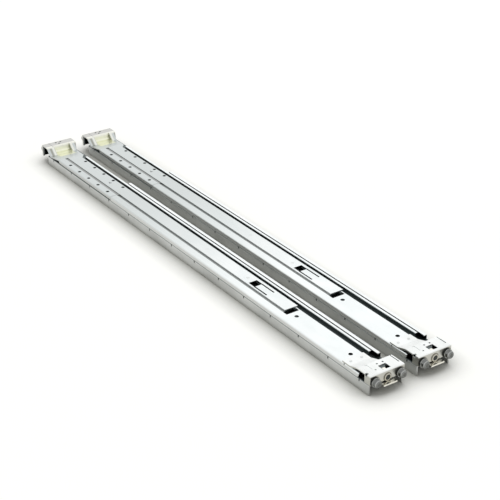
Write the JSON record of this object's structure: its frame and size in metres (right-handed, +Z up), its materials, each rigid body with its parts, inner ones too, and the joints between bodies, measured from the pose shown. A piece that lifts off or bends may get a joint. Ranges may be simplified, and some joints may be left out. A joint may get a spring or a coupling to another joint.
{
  "type": "sliding server rail pair",
  "caption": "Telescoping server rack rails with peg-and-latch end brackets, a depth-adjusting rear bracket on a long tongue and ball-bearing slide members.",
  "frame": {"origin": "centre of the pair's footprint, on the surface the rails lie on", "axes": "X across the two rails, +Y from the front posts to the rear posts, +Z up, away from the server side"},
  "size_m": [0.104, 0.714, 0.023],
  "materials": {
    "slide_steel": "bright zinc plate, drawn",
    "member_steel": "bright zinc plate, drawn",
    "cage_steel": "plain pressed strip, oiled",
    "ball_steel": "ground and polished",
    "profile_steel": "bright zinc plate",
    "guide_steel": "bright zinc plate",
    "bracket_steel": "bright zinc plate",
    "rear_bracket_steel": "bright zinc plate",
    "rivet_steel": "bright zinc plate",
    "peg_steel": "turned, zinc plate",
    "insert_steel": "turned, zinc plate",
    "latch_steel": "bright zinc plate",
    "pin_steel": "turned",
    "spring_steel": "tempered strip",
    "bumper_rubber": "moulded, matt",
    "tab_plastic": "moulded blue plastic",
    "lever_steel": "bright zinc plate"
  },
  "bodies": {
    "rack_side": {"left_slide_cabinet_member": "slide_steel", "left_support_rail": "profile_steel", "left_guide_rail": "guide_steel", "left_rail_rivets": "rivet_steel", "left_bracket_rivets": "rivet_steel", "left_front_bracket": "bracket_steel", "left_front_pegs": "peg_steel", "left_front_thread_insert": "insert_steel", "left_front_latch_pin": "pin_steel", "left_front_latch_spring": "spring_steel", "left_rear_bumper": "bumper_rubber", "right_slide_cabinet_member": "slide_steel", "right_support_rail": "profile_steel", "right_guide_rail": "guide_steel", "right_rail_rivets": "rivet_steel", "right_bracket_rivets": "rivet_steel", "right_front_bracket": "bracket_steel", "right_front_pegs": "peg_steel", "right_front_thread_insert": "insert_steel", "right_front_latch_pin": "pin_steel", "right_front_latch_spring": "spring_steel", "right_rear_bumper": "bumper_rubber"},
    "left_intermediate": {"left_slide_intermediate_member": "member_steel"},
    "left_inner": {"left_slide_inner_member": "member_steel", "left_lock_lever_stud": "pin_steel"},
    "left_outer_cage_body": {"left_outer_ball_cage": "cage_steel", "left_outer_balls": "ball_steel"},
    "left_inner_cage_body": {"left_inner_ball_cage": "cage_steel", "left_inner_balls": "ball_steel"},
    "left_rear_bracket_body": {"left_rear_bracket": "rear_bracket_steel", "left_tongue_studs": "rivet_steel", "left_rear_pegs": "peg_steel", "left_rear_thread_insert": "insert_steel", "left_rear_latch_pin": "pin_steel", "left_rear_latch_spring": "spring_steel"},
    "left_front_latch_body": {"left_front_latch": "latch_steel"},
    "left_rear_latch_body": {"left_rear_latch": "latch_steel"},
    "left_release_tab_body": {"left_release_tab": "tab_plastic"},
    "left_lock_lever_body": {"left_lock_lever": "lever_steel"},
    "right_intermediate": {"right_slide_intermediate_member": "member_steel"},
    "right_inner": {"right_slide_inner_member": "member_steel", "right_lock_lever_stud": "pin_steel"},
    "right_outer_cage_body": {"right_outer_ball_cage": "cage_steel", "right_outer_balls": "ball_steel"},
    "right_inner_cage_body": {"right_inner_ball_cage": "cage_steel", "right_inner_balls": "ball_steel"},
    "right_rear_bracket_body": {"right_rear_bracket": "rear_bracket_steel", "right_tongue_studs": "rivet_steel", "right_rear_pegs": "peg_steel", "right_rear_thread_insert": "insert_steel", "right_rear_latch_pin": "pin_steel", "right_rear_latch_spring": "spring_steel"},
    "right_front_latch_body": {"right_front_latch": "latch_steel"},
    "right_rear_latch_body": {"right_rear_latch": "latch_steel"},
    "right_release_tab_body": {"right_release_tab": "tab_plastic"},
    "right_lock_lever_body": {"right_lock_lever": "lever_steel"}
  },
  "joints": [
    {"name": "left_intermediate_slide", "type": "slide", "parent": "rack_side", "child": "left_intermediate", "axis": [0, -1, 0], "range_m": [0, 0.33]},
    {"name": "left_inner_slide", "type": "slide", "parent": "left_intermediate", "child": "left_inner", "axis": [0, -1, 0], "range_m": [0, 0.33]},
    {"name": "left_outer_cage_slide", "type": "slide", "parent": "rack_side", "child": "left_outer_cage_body", "axis": [0, -1, 0], "range_m": [0, 0.165]},
    {"name": "left_inner_cage_slide", "type": "slide", "parent": "left_intermediate", "child": "left_inner_cage_body", "axis": [0, -1, 0], "range_m": [0, 0.165]},
    {"name": "left_depth_slide", "type": "slide", "parent": "rack_side", "child": "left_rear_bracket_body", "axis": [0, 1, 0], "range_m": [0, 0.168]},
    {"name": "left_front_latch_hinge", "type": "hinge", "parent": "rack_side", "child": "left_front_latch_body", "pos_m": [-0.0305, -0.34, 0.0156], "axis": [-1, 0, 0], "range_deg": [-15, 0], "stiffness_Nm_per_rad": 0.05, "springref_deg": 20.05},
    {"name": "left_rear_latch_hinge", "type": "hinge", "parent": "left_rear_bracket_body", "child": "left_rear_latch_body", "pos_m": [-0.0305, 0.34, 0.0156], "axis": [1, 0, 0], "range_deg": [-15, 0], "stiffness_Nm_per_rad": 0.05, "springref_deg": 20.05},
    {"name": "left_release_tab_slide", "type": "slide", "parent": "left_inner", "child": "left_release_tab_body", "axis": [0, 1, 0], "range_m": [0, 0.008], "stiffness_N_per_m": 150, "springref_m": -0.004},
    {"name": "left_lock_lever_hinge", "type": "hinge", "parent": "left_inner", "child": "left_lock_lever_body", "pos_m": [-0.0305, 0.25, 0.0027], "axis": [0, 0, 1], "range_deg": [-6, 6], "stiffness_Nm_per_rad": 0.05},
    {"name": "right_intermediate_slide", "type": "slide", "parent": "rack_side", "child": "right_intermediate", "axis": [0, -1, 0], "range_m": [0, 0.33]},
    {"name": "right_inner_slide", "type": "slide", "parent": "right_intermediate", "child": "right_inner", "axis": [0, -1, 0], "range_m": [0, 0.33]},
    {"name": "right_outer_cage_slide", "type": "slide", "parent": "rack_side", "child": "right_outer_cage_body", "axis": [0, -1, 0], "range_m": [0, 0.165]},
    {"name": "right_inner_cage_slide", "type": "slide", "parent": "right_intermediate", "child": "right_inner_cage_body", "axis": [0, -1, 0], "range_m": [0, 0.165]},
    {"name": "right_depth_slide", "type": "slide", "parent": "rack_side", "child": "right_rear_bracket_body", "axis": [0, 1, 0], "range_m": [0, 0.168]},
    {"name": "right_front_latch_hinge", "type": "hinge", "parent": "rack_side", "child": "right_front_latch_body", "pos_m": [0.0305, -0.34, 0.0156], "axis": [-1, 0, 0], "range_deg": [-15, 0], "stiffness_Nm_per_rad": 0.05, "springref_deg": 20.05},
    {"name": "right_rear_latch_hinge", "type": "hinge", "parent": "right_rear_bracket_body", "child": "right_rear_latch_body", "pos_m": [0.0305, 0.34, 0.0156], "axis": [1, 0, 0], "range_deg": [-15, 0], "stiffness_Nm_per_rad": 0.05, "springref_deg": 20.05},
    {"name": "right_release_tab_slide", "type": "slide", "parent": "right_inner", "child": "right_release_tab_body", "axis": [0, 1, 0], "range_m": [0, 0.008], "stiffness_N_per_m": 150, "springref_m": -0.004},
    {"name": "right_lock_lever_hinge", "type": "hinge", "parent": "right_inner", "child": "right_lock_lever_body", "pos_m": [0.0305, 0.25, 0.0027], "axis": [0, 0, 1], "range_deg": [-6, 6], "stiffness_Nm_per_rad": 0.05}
  ],
  "couplings": [
    {"joint": "left_outer_cage_slide", "follows": "left_intermediate_slide", "ratio": 0.5},
    {"joint": "left_inner_cage_slide", "follows": "left_inner_slide", "ratio": 0.5},
    {"joint": "right_outer_cage_slide", "follows": "right_intermediate_slide", "ratio": 0.5},
    {"joint": "right_inner_cage_slide", "follows": "right_inner_slide", "ratio": 0.5}
  ]
}
